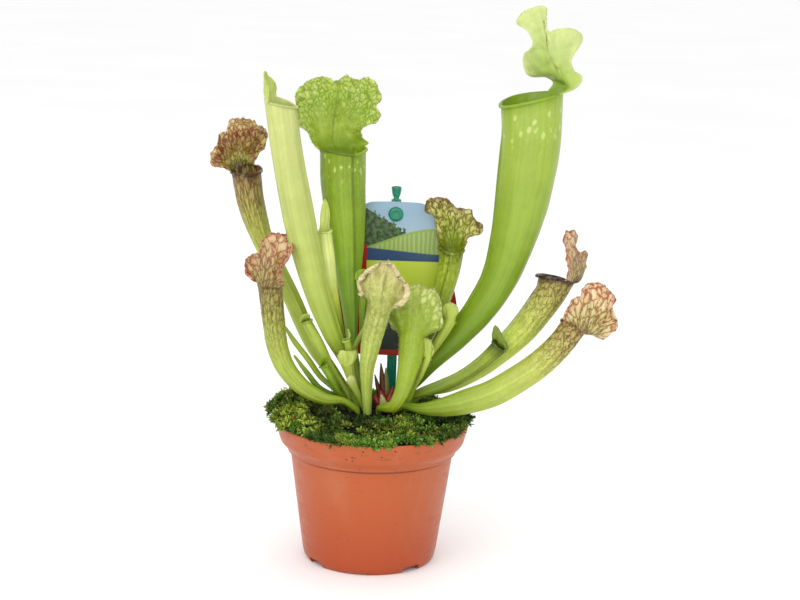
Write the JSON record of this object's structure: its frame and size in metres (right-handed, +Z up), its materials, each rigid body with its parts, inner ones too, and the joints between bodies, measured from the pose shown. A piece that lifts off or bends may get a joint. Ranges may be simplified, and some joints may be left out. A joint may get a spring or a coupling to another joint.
{
  "type": "potted sarracenia",
  "caption": "Potted trumpet pitcher plant: slender hooded tubes fan out from one crown in a mossy plastic nursery pot, with a label card on a peg behind them.",
  "frame": {"origin": "below the middle of the whole plant, at the level that the pot's foot stands on; the pot's axis is at X = -18.6 mm, Y = 0", "axes": "+Z up along the pot's axis, -Y towards the side that the label card faces, +X to the right as seen from that side"},
  "size_m": [0.2512, 0.12, 0.3408],
  "materials": {
    "pot": "satin",
    "soil": "matte",
    "moss": "matte",
    "leaf_green": "satin",
    "leaf_pale": "satin",
    "leaf_veined": "satin",
    "leaf_brown": "satin",
    "shoots": "satin",
    "card": "gloss",
    "peg": "gloss"
  },
  "bodies": {
    "root": {"pot": "pot", "soil": "soil", "moss": "moss", "new_shoots": "shoots", "plant_label": "card", "label_peg": "peg", "pitcher_far_left": "leaf_brown", "pitcher_pale_tall": "leaf_pale", "pitcher_middle": "leaf_green", "pitcher_tall_right": "leaf_green", "pitcher_left_low": "leaf_veined", "pitcher_front": "leaf_pale", "pitcher_front_right": "leaf_green", "pitcher_behind": "leaf_veined", "pitcher_right_rosy": "leaf_veined", "pitcher_right_low": "leaf_veined", "pitcher_right_small": "leaf_green", "young_pitcher_back": "leaf_pale", "young_pitcher_left": "leaf_pale", "young_pitcher_low_left": "leaf_pale", "young_pitcher_centre": "leaf_pale", "young_pitcher_broad": "leaf_green", "young_pitcher_green": "leaf_green", "young_pitcher_right": "leaf_green", "young_pitcher_ruffled": "leaf_pale", "thin_leaf_left_outer": "leaf_pale", "thin_leaf_left_inner": "leaf_green", "thin_leaf_centre": "leaf_pale", "small_leaf_front": "leaf_pale"}
  },
  "joints": []
}
